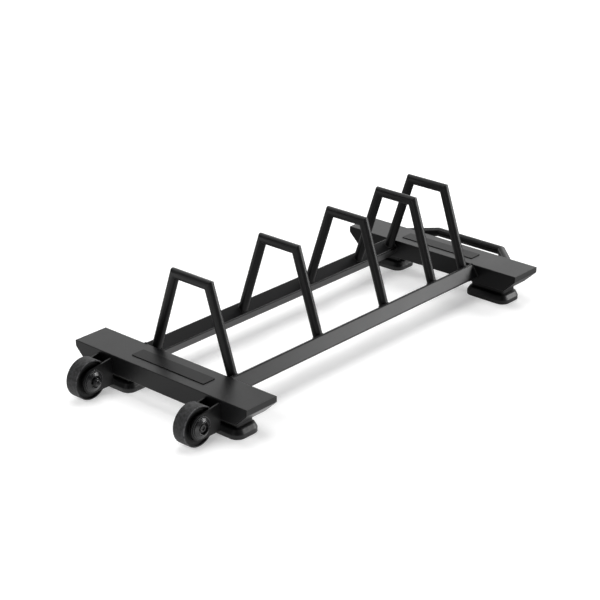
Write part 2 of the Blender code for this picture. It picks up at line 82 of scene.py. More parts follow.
# Cross beams: 4 x 2 inch rectangular steel tube, sawn off at a slant below, under a satin black powder
# coat. The coat hides the mill finish and leaves a fine orange peel that breaks up the reflections.
BEAM_CORNER = 0.002
BEAM_WALL = 0.0025
END_UPRIGHT = 0.016
END_CUT_RUN = 0.0365
END_PLATE = 0.003
SEAT_GAP = 0.0003
CORNER_STEPS = 8
SMOOTH_UP_TO = math.radians(28)
MM_PER_M = 1000
COAT_COLOURS = ("#101011", "#131314")
COAT_ROUGHNESS = (0.33, 0.39)
COAT_IOR = 1.37
COAT_CLOUD_MM = 60.0
# Width and depth. The real grain is about 0.2 mm wide, too fine to show: it is drawn four times as wide.
COAT_PEEL_MM = (2.2, 0.02)
COAT_GRAIN_MM = (0.8, 0.01)


def linear(hex_colour):
    """An sRGB hex colour as the linear RGBA that a shader takes."""
    parts = np.array([int(hex_colour[i:i + 2], 16) for i in (1, 3, 5)]) / 255
    return (*np.where(parts <= 0.04045, parts / 12.92, ((parts + 0.055) / 1.055) ** 2.4), 1.0)


def add(tree, kind, settings=None, **inputs):
    """Adds a shader node. settings are its own properties; inputs are values to hold or sockets to join,
    each under the input's name with _ for a space, or under its number, as in_0. A colour Mix takes its
    share at input 0 and its two colours at 6 and 7, and gives the mixed one at output 2."""
    made = tree.nodes.new(kind)
    for key, value in (settings or {}).items():
        setattr(made, key, value)
    for key, value in inputs.items():
        socket = made.inputs[int(key[3:])] if key.startswith("in_") else made.inputs[key.replace("_", " ")]
        if isinstance(value, bpy.types.NodeSocket):
            tree.links.new(value, socket)
        else:
            socket.default_value = value
    return made


def pattern(tree, size_mm, detail=2.0):
    """A value between 0 and 1 that wanders over size_mm, read from the piece's own coordinates."""
    spot = add(tree, "ShaderNodeTexCoord").outputs["Object"]
    wander = add(tree, "ShaderNodeTexNoise", Vector=spot, Scale=MM_PER_M / size_mm, Detail=detail)
    return wander.outputs["Fac"]


def finish(name, colours, roughness, cloud_mm, grains_mm, detail=2.0):
    """A material whose colour and roughness wander together over cloud_mm, each from its first value to
    its second. grains_mm are (width, depth) patterns raised as bumps, each on the one before. Gives the
    material, its shader and the value that wanders."""
    made = bpy.data.materials.new(name)
    made.use_nodes = True
    tree = made.node_tree
    shader = tree.nodes["Principled BSDF"]
    cloud = pattern(tree, cloud_mm, detail)
    dark, light = [linear(colour) for colour in colours]
    mixed = add(tree, "ShaderNodeMix", {"data_type": "RGBA"}, in_0=cloud, in_6=dark, in_7=light)
    tree.links.new(mixed.outputs[2], shader.inputs["Base Color"])
    low, high = roughness
    gloss = add(tree, "ShaderNodeMapRange", Value=cloud, To_Min=low, To_Max=high)
    tree.links.new(gloss.outputs["Result"], shader.inputs["Roughness"])
    raised = {}
    for width, depth in grains_mm:
        bump = add(tree, "ShaderNodeBump", Height=pattern(tree, width), Distance=depth / MM_PER_M, **raised)
        raised = {"Normal": bump.outputs["Normal"]}
    tree.links.new(raised["Normal"], shader.inputs["Normal"])
    return made, shader, cloud


def powder_coat(name, colours, roughness, index):
    """Polyester powder coat: a satin skin with orange peel and a fine grain, almost even in colour."""
    made, shader, _ = finish(name, colours, roughness, COAT_CLOUD_MM, (COAT_PEEL_MM, COAT_GRAIN_MM))
    shader.inputs["IOR"].default_value = index
    return made


def skin(name, rings, wrap=False):
    """A closed mesh through rings, an array of (ring, point, xyz) whose rings close on themselves. With
    wrap the last ring joins the first, and without it a flat face fills each end. Past SMOOTH_UP_TO an
    edge is sharp."""
    index = np.arange(rings.shape[0] * rings.shape[1]).reshape(rings.shape[:2])
    here = index if wrap else index[:-1]
    there = np.roll(index, -1, axis=0) if wrap else index[1:]
    corners = [here, np.roll(here, -1, axis=1), np.roll(there, -1, axis=1), there]
    faces = np.stack(corners, axis=-1).reshape(-1, 4).tolist()
    if not wrap:
        faces += [index[0, ::-1].tolist(), index[-1].tolist()]
    mesh = bpy.data.meshes.new(name)
    mesh.from_pydata(rings.reshape(-1, 3).tolist(), [], faces)
    bm = bmesh.new()
    bm.from_mesh(mesh)
    bmesh.ops.recalc_face_normals(bm, faces=bm.faces)
    bm.to_mesh(mesh)
    bm.free()
    mesh.shade_smooth()
    mesh.set_sharp_from_angle(angle=SMOOTH_UP_TO)
    return mesh


def show(mesh, material, body, slot, *nodes):
    """Shows a mesh as a piece in a material, on a body, in place of nodes of the model. slot is not used."""
    mesh.materials.append(material)
    made = bpy.data.objects.new(mesh.name, mesh)
    bpy.context.scene.collection.objects.link(made)
    even = made.modifiers.new("flat faces stay flat", "WEIGHTED_NORMAL")
    even.keep_sharp = True
    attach(made, body)
    if nodes:
        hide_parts(*nodes)
    return made


def rounded_box(width, height, radius, steps=CORNER_STEPS):
    """Outline of a rectangle about the origin as (a, b) points: at each corner a quarter circle of radius,
    about a middle that lies that far inside both sides."""
    turn = np.pi / 2 * (np.arange(4)[:, None] + np.linspace(0, 1, steps + 1))
    corner = np.array([(1, 1), (-1, 1), (-1, -1), (1, -1)])[:, None]
    middle = corner * (width / 2 - radius, height / 2 - radius)
    return (middle + radius * np.stack([np.cos(turn), np.sin(turn)], axis=-1)).reshape(-1, 2)


def with_points_at(outline, height):
    """The same outline with two points more, where its upright sides cross a height."""
    ahead = np.roll(outline, -1, axis=0)
    crossed = np.flatnonzero((outline[:, 1] - height) * (ahead[:, 1] - height) < 0)
    return np.insert(outline, crossed + 1, [(outline[i, 0], height) for i in crossed], axis=0)


def knee_height(size):
    """Height, from the beam's middle line, where the upright and the slanted part of its end meet."""
    return size.z / 2 - END_UPRIGHT


def beam_end(height, size, inset, bend=0.0):
    """How far from the middle a beam's end reaches at a height: the lesser of the upright part and the
    slanted one, each set back square to itself by inset, blended over bend where they cross."""
    drop = size.z - END_UPRIGHT
    upright = size.y / 2 - inset
    slanted = (size.y / 2 + (height - knee_height(size)) * END_CUT_RUN / drop
               - inset * math.hypot(END_CUT_RUN, drop) / drop)
    return (upright + slanted - np.sqrt((upright - slanted) ** 2 + bend ** 2)) / 2


black_coat = powder_coat("satin black powder coat", COAT_COLOURS, COAT_ROUGHNESS, COAT_IOR)

beams = {}
for end in ("wheel_end", "handle_end"):
    low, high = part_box(f"{end}_beam")
    middle = (low + high) / 2
    size = high - low
    size.y += 2 * (END_PLATE + SEAT_GAP)
    beams[end] = (middle, size)
    outer = with_points_at(rounded_box(size.x, size.z, BEAM_CORNER), knee_height(size))
    inner = outer * (1 - 2 * BEAM_WALL / size.x, 1 - 2 * BEAM_WALL / size.z)
    rings = []
    for outline, side in ((outer, -1), (outer, 1), (inner, 1), (inner, -1)):
        reach = side * beam_end(outline[:, 1], size, END_PLATE + SEAT_GAP)
        rings.append(np.stack([outline[:, 0], reach, outline[:, 1]], axis=-1) + middle)
    show(skin(f"{end}_beam_tube", np.array(rings), wrap=True), black_coat,
         "frame", "black_powder_coat", f"{end}_beam")


# End plates: 3 mm steel strip, bent once and welded over each sawn end of the beams, its edges dressed
# flush. Each ring lies level: across the outer face, and back along the inner one.
SIDES = {"left": 1, "right": -1}
END_BEND = 0.0016
BEND_REACH = 0.004
BEND_STEPS = 15
EDGE_STEPS = 7
ACROSS_STEPS = 9

for end, (middle, size) in beams.items():
    corner = BEAM_CORNER * (1 - np.cos(np.linspace(0, np.pi / 2, EDGE_STEPS)))
    knee = knee_height(size) + BEND_REACH * np.linspace(-1, 1, BEND_STEPS)
    height = np.unique(np.concatenate([corner - size.z / 2, knee, size.z / 2 - corner]))
    past = np.maximum(np.abs(height) - size.z / 2 + BEAM_CORNER, 0.0)
    half = size.x / 2 - BEAM_CORNER + np.sqrt(np.maximum(BEAM_CORNER ** 2 - past ** 2, 0.0))
    across = np.linspace(-1, 1, ACROSS_STEPS)
    across = half[:, None] * np.concatenate([across, -across])
    faces = [beam_end(height, size, inset, END_BEND) for inset in (0.0, END_PLATE)]
    reach = np.repeat(np.stack(faces, axis=-1), ACROSS_STEPS, axis=1)
    upward = np.repeat(height[:, None], 2 * ACROSS_STEPS, axis=1)
    for name, side in SIDES.items():
        rings = np.stack([across, side * reach, upward], axis=-1)
        show(skin(f"{end}_beam_{name}_end_plate", rings + middle), black_coat,
             "frame", "black_powder_coat", f"{end}_beam_{name}_end")


# Rails: 40 mm square steel tube, turned 33 degrees about its length, so that the rims of the plates stand
# on a sloping face. The same coat; the tube's rolled corners show as dark lines along it.
RAIL_SIZE = 0.040
RAIL_WALL = 0.002
RAIL_CORNER = 0.004
RAIL_TILT = math.radians(33.3)


def turned_by(outline, angle):
    """An outline turned about the origin."""
    c, s = math.cos(angle), math.sin(angle)
    return outline @ np.array([(c, s), (-s, c)])


rails = {}
rail_ends = {}
for name, side in SIDES.items():
    low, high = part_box(f"{name}_rail")
    middle = (low + high) / 2
    slope = np.array([0.0, -side * math.sin(RAIL_TILT), math.cos(RAIL_TILT)])
    rails[name] = (middle, slope)
    outer = turned_by(rounded_box(RAIL_SIZE, RAIL_SIZE, RAIL_CORNER), side * RAIL_TILT)
    inner = outer * (1 - 2 * RAIL_WALL / RAIL_SIZE)
    rings = []
    for outline, x in ((outer, low.x), (outer, high.x), (inner, high.x), (inner, low.x)):
        rings.append(np.insert(outline + (middle.y, middle.z), 0, x, axis=1))
    rail_ends[name] = {"wheel_end": rings[0], "handle_end": rings[1]}
    show(skin(f"{name}_rail_tube", np.array(rings), wrap=True), black_coat,
         "frame", "black_powder_coat", f"{name}_rail")


# Plate hoops: 25.4 mm round steel tube in three mitred lengths, welded at the corners and ground, the legs
# leaning outward and cut to the slope of the rails that they are welded to.
HOOP_COUNT = 5
HOOP_TUBE = 0.0254
HOOP_WALL = 0.002
HOOP_TOP_WIDTH = 0.1136
HOOP_LEAN = math.radians(18.5)
TUBE_SIDES = 72


def round_turn(count):
    """So many angles, evenly spaced round a circle."""
    return np.linspace(0, 2 * np.pi, count, endpoint=False)


def mitred_tube(name, path, flat, radius, wall, cuts):
    """A round tube along a path that lies square to flat. Each ring is the circle about the tube's own
    line, slid along that line onto the plane that halves the corner, or onto the cut, a point and a
    normal, at an end."""
    steps = np.diff(path, axis=0)
    steps /= np.linalg.norm(steps, axis=1)[:, None]
    points = np.concatenate([cuts[0][:1], path[1:-1], cuts[1][:1]])
    normals = np.concatenate([cuts[0][1:], steps[:-1] + steps[1:], cuts[1][1:]])
    turn = round_turn(TUBE_SIDES)[:, None]

    def ring(i, size):
        along = steps[min(i, len(steps) - 1)]
        start = path[i] + size * (np.cos(turn) * flat + np.sin(turn) * np.cross(flat, along))
        return start + along * (((points[i] - start) @ normals[i]) / (along @ normals[i]))[:, None]

    order = range(len(path))
    rings = [ring(i, radius) for i in order] + [ring(i, radius - wall) for i in reversed(order)]
    return skin(name, np.array(rings), wrap=True)


hoop_feet = []
for number in range(1, HOOP_COUNT + 1):
    hoop = f"plate_hoop_{number}"
    low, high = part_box(hoop)
    x = (low.x + high.x) / 2
    top = high.z - HOOP_TUBE / 2
    path, cuts = [], []
    for name, side in reversed(SIDES.items()):
        middle, slope = rails[name]
        foot_out = HOOP_TOP_WIDTH / 2 + (top - middle.z) * math.tan(HOOP_LEAN)
        path.append((x, side * foot_out, middle.z))
        path.append((x, side * HOOP_TOP_WIDTH / 2, top))
        on_rail = np.array([x, middle.y, middle.z]) + slope * (RAIL_SIZE / 2 + SEAT_GAP)
        cuts.append(np.array([on_rail, slope]))
        hoop_feet.append((np.array(path[-2]), np.array(path[-1]), on_rail, slope))
    path = np.array([path[0], path[1], path[3], path[2]])
    tube = mitred_tube(f"{hoop}_tube", path, np.array([1.0, 0.0, 0.0]), HOOP_TUBE / 2, HOOP_WALL, cuts)
    show(tube, black_coat, "frame", "black_powder_coat", hoop)


# Pull handle: 25.4 mm round steel tube in three mitred lengths, butted to the outer face of the handle end
# beam. It shares the frame's coat, and nothing covers its grip.
HANDLE_TUBE = 0.0254
HANDLE_WALL = 0.002
HANDLE_GRIP = 0.2208
HANDLE_SPREAD = 0.403

low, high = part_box("pull_handle")
grip_x = high.x - HANDLE_TUBE / 2
middle, size = beams["handle_end"]
beam_face = middle.x + size.x / 2
path = np.array([(beam_face, -HANDLE_SPREAD / 2, middle.z), (grip_x, -HANDLE_GRIP / 2, middle.z),
                 (grip_x, HANDLE_GRIP / 2, middle.z), (beam_face, HANDLE_SPREAD / 2, middle.z)])
at_beam = np.array([(beam_face + SEAT_GAP, 0.0, middle.z), (1.0, 0.0, 0.0)])
tube = mitred_tube("pull_handle_tube", path, np.array([0.0, 0.0, 1.0]), HANDLE_TUBE / 2, HANDLE_WALL,
                   (at_beam, at_beam))
show(tube, black_coat, "frame", "black_powder_coat", "pull_handle")
handle_feet = [(path[0], path[1]), (path[3], path[2])]


# Welds: small fillet beads where tube meets tube, laid before the coat, so they share it. Their ripples
# are the only sign of them that shows.
BEAD_RADIUS = 0.0021
BEAD_RIPPLE = 0.10
BEAD_PITCH = 0.0024
BEAD_SIDES = 12
RIPPLE_STEPS = 6


def bead(name, path):
    """A weld bead along a closed path: a circle square to the path, whose radius swells and shrinks once
    for each step of the welder, about BEAD_PITCH apart."""
    length = np.linalg.norm(np.roll(path, -1, axis=0) - path, axis=1)
    run = np.concatenate([[0.0], np.cumsum(length)])
    count = RIPPLE_STEPS * round(run[-1] / BEAD_PITCH)
    at = np.linspace(0, run[-1], count, endpoint=False)
    closed = np.concatenate([path, path[:1]])
    line = np.stack([np.interp(at, run, closed[:, axis]) for axis in range(3)], axis=-1)
    along = np.roll(line, -1, axis=0) - np.roll(line, 1, axis=0)
    along /= np.linalg.norm(along, axis=1)[:, None]
    out = line - line.mean(axis=0)
    out -= (out * along).sum(axis=1)[:, None] * along
    out /= np.linalg.norm(out, axis=1)[:, None]
    up = np.cross(along, out)
    swell = 1 + BEAD_RIPPLE * np.cos(2 * np.pi * np.arange(count) / RIPPLE_STEPS)
    radius = BEAD_RADIUS * swell[:, None, None]
    turn = round_turn(BEAD_SIDES)[None, :, None]
    rings = line[:, None] + radius * (np.cos(turn) * out[:, None] + np.sin(turn) * up[:, None])
    return skin(name, rings, wrap=True)


def where_tube_meets(foot, top, radius, point, normal):
    """The closed line along which a tube from foot to top meets a plane."""
    along = (top - foot) / np.linalg.norm(top - foot)
    side = np.cross(along, normal)
    side /= np.linalg.norm(side)
    turn = round_turn(TUBE_SIDES)[:, None]
    start = foot + radius * (np.cos(turn) * side + np.sin(turn) * np.cross(along, side))
    return start + along * (((point - start) @ normal) / (along @ normal))[:, None]


for number, (foot, top, point, slope) in enumerate(hoop_feet, start=1):
    path = where_tube_meets(foot, top, HOOP_TUBE / 2, point, slope)
    show(bead(f"hoop_foot_weld_{number}", path), black_coat, "frame", "black_powder_coat")
for number, (foot, top) in enumerate(handle_feet, start=1):
    path = where_tube_meets(foot, top, HANDLE_TUBE / 2, *at_beam)
    show(bead(f"handle_weld_{number}", path), black_coat, "frame", "black_powder_coat")
for name, ends in rail_ends.items():
    for end, path in ends.items():
        show(bead(f"{name}_rail_{end}_weld", path), black_coat, "frame", "black_powder_coat")


# Wheel brackets: 5 mm steel plate, laser cut with a round end about the axle and a sloping top edge,
# welded by its square end to the outer face of the wheel end beam. Edges broken by half a millimetre.
BRACKET_END = 0.032
BRACKET_CORNER = 0.005
BRACKET_EDGE = 0.0005
BOLT_HOLE = 0.0063
ROUND_STEPS = 48
SOFT_STEPS = 5
SAME_PLACE = 1e-7


def softened(points, trims, steps=SOFT_STEPS, closed=False):
    """The line through points, with each corner cut off trim before and after it and joined by a parabola.
    Points that fall on the one before are left out."""
    points = np.asarray(points, float)
    trims = np.asarray(trims, float)[:, None]
    back = np.roll(points, 1, axis=0) - points
    ahead = np.roll(points, -1, axis=0) - points
    begin = points + trims * back / np.linalg.norm(back, axis=1)[:, None]
    stop = points + trims * ahead / np.linalg.norm(ahead, axis=1)[:, None]
    t = np.linspace(0, 1, steps + 1)[None, :, None]
    line = (1 - t) ** 2 * begin[:, None] + 2 * t * (1 - t) * points[:, None] + t ** 2 * stop[:, None]
    line = line.reshape(-1, points.shape[1])
    if not closed:
        line = np.concatenate([points[:1], line[steps + 1:-steps - 1], points[-1:]])
    return line[np.linalg.norm(line - np.roll(line, 1, axis=0), axis=1) > SAME_PLACE]


def shrunk(outline, inset):
    """A closed outline moved in by inset, each point along the line that halves its corner."""
    edge = np.roll(outline, -1, axis=0) - outline
    edge /= np.linalg.norm(edge, axis=1)[:, None]
    out = np.stack([edge[:, 1], -edge[:, 0]], axis=-1)
    both = out + np.roll(out, 1, axis=0)
    both /= (both * out).sum(axis=1)[:, None]
    area = (outline[:, 0] * np.roll(outline[:, 1], -1) - outline[:, 1] * np.roll(outline[:, 0], -1)).sum()
    return outline - math.copysign(inset, area) * both


for name in SIDES:
    for place in ("inner", "outer"):
        node = f"{name}_wheel_{place}_bracket"
        low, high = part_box(node)
        axle_x = low.x + BRACKET_END
        axle_z = low.z + BRACKET_END
        back = high.x - axle_x
        shoulder = high.z - axle_z
        touch = math.atan2(shoulder, back) + math.acos(BRACKET_END / math.hypot(back, shoulder))
        turn = np.linspace(touch, 1.5 * np.pi, ROUND_STEPS)
        round_end = BRACKET_END * np.stack([np.cos(turn), np.sin(turn)], axis=-1)
        # The first and last points of the square end only aim its line. The round end takes their place.
        square_end = softened([(0, -BRACKET_END), (back, -BRACKET_END), (back, shoulder), (0, shoulder)],
                              (0, BRACKET_CORNER, 0, 0))[1:-1]
        outline = np.concatenate([round_end, square_end])
        hole = BOLT_HOLE * outline / np.linalg.norm(outline, axis=1)[:, None]
        face = shrunk(outline, BRACKET_EDGE)
        rings = []
        for line, y in ((hole, low.y), (face, low.y), (outline, low.y + BRACKET_EDGE),
                        (outline, high.y - BRACKET_EDGE), (face, high.y), (hole, high.y)):
            rings.append(np.insert(line + (axle_x, axle_z), 1, y, axis=1))
        show(skin(f"{node}_plate", np.array(rings), wrap=True), black_coat,
             "frame", "black_powder_coat", node)


# Tyres: solid black rubber moulded round the hub, with a flat tread, eased shoulders and a flat lip at
# each side. Rubber is matt and stippled by its mould. Dust greys the tread in patches; the shoulders are
# drawn lighter grey as a painted highlight, and the recess is kept bare black as painted shade.
TYRE_EDGE = 0.002
TYRE_LIP = 0.0015
TYRE_RECESS = 0.006
TYRE_DRAFT = 0.0006
TYRE_SOFT = (0.0, 0.0015, 0.0008, TYRE_EDGE)
HUB_RADIUS = 0.038
WHEEL_SIDES = 144
TYRE_COLOURS = ("#0d0d0e", "#141415")
TYRE_ROUGHNESS = (0.57, 0.67)
# The real stipple is about 0.3 mm wide, too fine to show, so it is drawn about five times as wide.
TYRE_STIPPLE_MM = (1.6, 0.06)
RUBBER_WAVE_MM = (12.0, 0.15)
DUST_MM = 7.0
DUST_DETAIL = 4.0
# Grey of the dust on the tread, and, stronger, of the painted highlight on the shoulders.
DUST_AND_HIGHLIGHT_GREY = "#5c5c5e"
TREAD_WEAR = 0.17
SHOULDER_PAINTED_HIGHLIGHT = 0.8
PATCH_FROM = 0.35
PATCH_TO = 0.65
PATCH_PEAK = 2.0


def rubber(name, colours, roughness, stipple_mm):
    """Moulded rubber: matt and almost black, stippled by the mould and slightly wavy. An attribute of the
    piece says how far it is drawn grey, on average over its patches, which go from none to PATCH_PEAK times
    as much. That grey is dust, and where it is strongest it is a painted highlight."""
    made, shader, dust = finish(name, colours, roughness, DUST_MM, (stipple_mm, RUBBER_WAVE_MM), DUST_DETAIL)
    tree = made.node_tree
    grey_dust_and_highlight_share = add(tree, "ShaderNodeAttribute", {"attribute_name": "dust_and_painted_light"}).outputs["Fac"]
    patches = add(tree, "ShaderNodeMapRange", Value=dust, From_Min=PATCH_FROM, From_Max=PATCH_TO,
                  To_Max=PATCH_PEAK).outputs["Result"]
    grey = add(tree, "ShaderNodeMath", {"operation": "MULTIPLY", "use_clamp": True}, in_0=grey_dust_and_highlight_share, in_1=patches)
    base = shader.inputs["Base Color"]
    colour = add(tree, "ShaderNodeMix", {"data_type": "RGBA"}, in_0=grey.outputs[0],
                 in_6=base.links[0].from_socket, in_7=linear(DUST_AND_HIGHLIGHT_GREY))
    tree.links.new(colour.outputs[2], base)
    return made


def both_halves(half, trims, steps=SOFT_STEPS):
    """A closed profile from its outward half and that half's mirror image, with its corners softened."""
    profile = half + [(radius, -outward) for radius, outward in reversed(half)]
    return softened(profile, trims + trims[::-1], steps, closed=True)


def about_axle(radius, outward):
    """A ring of points about the axle, so far outward, at a radius that may differ at each angle."""
    turn = round_turn(WHEEL_SIDES)
    return np.stack([radius * np.cos(turn), outward + 0 * turn, radius * np.sin(turn)], axis=-1)


def turned_piece(name, profile, middle, side, wrap=True, extra=()):
    """A turned piece about the axle: a profile of (radius, outward) points carried round a circle, and
    then extra rings. The right-hand wheel's pieces are turned half round, so that outward is away from the
    cart on both."""
    rings = about_axle(profile[:, 0, None], profile[:, 1, None])
    rings = np.concatenate([rings, *[ring[None] for ring in extra]])
    return skin(name, rings * (side, side, 1) + middle, wrap=wrap)


tyre_rubber = rubber("black tyre rubber", TYRE_COLOURS, TYRE_ROUGHNESS, TYRE_STIPPLE_MM)
wheels = {}
for name, side in SIDES.items():
    low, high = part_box(f"{name}_tyre")
    middle = np.array((low + high) / 2)
    radius = (high.x - low.x) / 2
    half = (high.y - low.y) / 2
    wheels[name] = (side, middle, half)
    lip = radius - TYRE_EDGE - TYRE_LIP
    recess = half - TYRE_RECESS
    profile = both_halves([(HUB_RADIUS, recess), (lip - TYRE_DRAFT, recess), (lip, half), (radius, half)],
                          TYRE_SOFT)
    mesh = turned_piece(f"{name}_tyre_ring", profile, middle, side)
    # The shoulders get a painted highlight and the tread gets dust. The recess gets no grey: its bare black
    # is painted shade.
    on_painted_shoulder_highlight = (profile[:, 0] > radius - TYRE_EDGE) & (np.abs(profile[:, 1]) > half - TYRE_EDGE)
    outside_painted_recess_shade = profile[:, 0] > lip - TYRE_DRAFT
    grey_dust_and_highlight_share = np.where(on_painted_shoulder_highlight, SHOULDER_PAINTED_HIGHLIGHT, TREAD_WEAR * outside_painted_recess_shade).astype(np.float32)
    dust_and_painted_light = mesh.attributes.new("dust_and_painted_light", "FLOAT", "POINT")
    dust_and_painted_light.data.foreach_set("value", np.repeat(grey_dust_and_highlight_share, WHEEL_SIDES))
    show(mesh, tyre_rubber, f"{name}_wheel", "tyre_rubber", f"{name}_tyre")


# Wheel hubs: moulded black nylon, a web between rim and boss and a seat for a bearing at each side. Nylon
# comes dull and dark from a textured mould, a little cloudy where it cooled.
HUB_RIM = 0.005
HUB_WEB = 0.014
BOSS_RADIUS = 0.0215
BOSS_INSET = 0.001
BEARING_RADIUS = 0.016
BEARING_WIDTH = 0.010
BEARING_SHOULDER = 0.002
HUB_SOFT = (0.0, 0.0, 0.0006, 0.001, 0.002, 0.002, 0.0008, 0.0)
NYLON_COLOURS = ("#0e0e0e", "#131313")
NYLON_ROUGHNESS = (0.46, 0.56)
NYLON_IOR = 1.3
NYLON_CLOUD_MM = 9.0
# The mould's real texture is about 0.2 mm wide, too fine to show, so it is drawn coarser.
NYLON_GRAIN_MM = (1.5, 0.02)

nylon, shader, _ = finish("moulded black nylon", NYLON_COLOURS, NYLON_ROUGHNESS, NYLON_CLOUD_MM,
                          (NYLON_GRAIN_MM,))
shader.inputs["IOR"].default_value = NYLON_IOR
for name, (side, middle, half) in wheels.items():
    boss = half - BOSS_INSET
    seat = BEARING_RADIUS + SEAT_GAP
    seat_floor = boss - BEARING_WIDTH - SEAT_GAP
    recess = half - TYRE_RECESS
    under_rim = HUB_RADIUS - HUB_RIM
    profile = both_halves([(BEARING_RADIUS - BEARING_SHOULDER, seat_floor), (seat, seat_floor), (seat, boss),
                           (BOSS_RADIUS, boss), (BOSS_RADIUS, HUB_WEB / 2), (under_rim, HUB_WEB / 2),
                           (under_rim, recess), (HUB_RADIUS - SEAT_GAP, recess)], HUB_SOFT)
    show(turned_piece(f"{name}_hub", profile, middle, side), nylon,
         f"{name}_wheel", "hub_plastic", f"{name}_wheel_hub")


# Bearings, their sleeve and the axle spacers: ground and turned steel, bright, brushed round the axle by
# the tool. Hardly any of them shows, but they are finished like the rest.
SHIELD_STEP = 0.0006
RACE = 0.0028
BEARING_SOFT = (0.0004, 0.0002, 0.0002, 0.0002, 0.0002, 0.0006)
SPACER_SOFT = (0.0002, 0.0002)
FINE_STEPS = 3
STEEL_COLOURS = ("#8c8c8f", "#b4b4b8")
GROUND_ROUGHNESS = (0.22, 0.36)
PLATED_ROUGHNESS = (0.32, 0.46)
STEEL_CLOUD_MM = 3.0
STEEL_DETAIL = 4.0
# The tool's real marks are about 0.1 mm apart, too fine to show, so they are drawn coarser.
STEEL_GRAIN_MM = (0.8, 0.01)


def turned_steel(name, roughness):
    """Bright turned steel: a fine cloud in colour and gloss over a grain left by the tool."""
    made, shader, _ = finish(name, STEEL_COLOURS, roughness, STEEL_CLOUD_MM, (STEEL_GRAIN_MM,), STEEL_DETAIL)
    shader.inputs["Metallic"].default_value = 1.0
    return made


bearing_steel = turned_steel("ground bearing steel", GROUND_ROUGHNESS)
bright_steel = turned_steel("zinc plated steel", PLATED_ROUGHNESS)
for name, (side, middle, half) in wheels.items():
    boss = half - BOSS_INSET
    deep = BEARING_WIDTH / 2
    shield = deep - SHIELD_STEP
    profile = both_halves([(BOLT_HOLE, deep), (BOLT_HOLE + RACE, deep), (BOLT_HOLE + RACE, shield),
                           (BEARING_RADIUS - RACE, shield), (BEARING_RADIUS - RACE, deep),
                           (BEARING_RADIUS, deep)], BEARING_SOFT, FINE_STEPS)
    for place, sign in (("inner", -1), ("outer", 1)):
        at = middle + (0, side * sign * (boss - deep), 0)
        show(turned_piece(f"{name}_{place}_ball_bearing", profile, at, side), bearing_steel,
             f"{name}_wheel", "bearing_steel", f"{name}_{place}_bearing")
    for node in (f"{name}_bearing_sleeve", f"{name}_inner_axle_spacer", f"{name}_outer_axle_spacer"):
        low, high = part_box(node)
        at = np.array((low + high) / 2)
        reach = (high.y - low.y) / 2
        profile = both_halves([(BOLT_HOLE, reach), ((high.x - low.x) / 2, reach)], SPACER_SOFT, FINE_STEPS)
        show(turned_piece(f"{node}_ring", profile, at, side), bright_steel, "frame", "bright_steel", node)


# Axle bolts, cap nuts and domed washers: blackened steel, dark with a clear narrow gloss from the oil in
# it. Low socket head screws run in from the outer sides, with a cap nut on each inner end, and both sit in
# the open middle of a deep domed washer.
HEX_TURN = math.radians(15)
HEAD_HEIGHT = 0.004
HEAD_CHAMFER = 0.0008
SOCKET_ACROSS = 0.010
SOCKET_CLEAR = 0.6 * SOCKET_ACROSS
SOCKET_DEPTH = 0.0025
SHANK_RADIUS = 0.006
SHANK_END_FLAT = SHANK_RADIUS / 4
BOLT_SOFT = (0, HEAD_CHAMFER, 0.0003, 0.0003, HEAD_CHAMFER, 0)
NUT_ACROSS = 0.019
NUT_FACE = 0.95
NUT_CHAMFER = 0.0009
NUT_CHAMFER_STEPS = 5
NUT_CHAMFER_SLOPE = math.sqrt(3)
NUT_HEX_HEIGHT = 0.010
NUT_DOME = 0.0086
NUT_DOME_TURN = 0.97 * np.pi / 2
NUT_DOME_STEPS = 20
NUT_DEPTH = 0.016
WASHER_SEAT = 0.0015
WASHER_RECESS = 0.0155
WASHER_CROWN = 0.0166
WASHER_SHOULDER = 0.0250
WASHER_FALL = 0.0042
WASHER_SOFT = (0, 0, 0, 0.0008, 0.0008, 0.0018, 0.0003, 0.0004, 0.0004)
WASHER_STEPS = 7
BLACK_STEEL_COLOURS = ("#1c1c1d", "#28282a")
BLACK_STEEL_ROUGHNESS = (0.23, 0.31)
BLACK_STEEL_CLOUD_MM = 7.0
BLACK_STEEL_DETAIL = 3.0
# The real grain is about 0.1 mm wide, too fine to show, so it is drawn coarser.
BLACK_STEEL_GRAIN_MM = (1.0, 0.008)

black_steel, _, _ = finish("blackened steel", BLACK_STEEL_COLOURS, BLACK_STEEL_ROUGHNESS,
                           BLACK_STEEL_CLOUD_MM, (BLACK_STEEL_GRAIN_MM,), BLACK_STEEL_DETAIL)


def hexagon(across):
    """For each angle about the axle, the distance to the flat of a hexagon that it falls on."""
    return across / 2 / np.cos((round_turn(WHEEL_SIDES) - HEX_TURN) % (np.pi / 3) - np.pi / 6)


def ends_outward(node, middle, side):
    """How far outward from the wheel's middle a node's inner and its outer end lie."""
    low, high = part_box(node)
    return sorted((side * (low.y - middle[1]), side * (high.y - middle[1])))


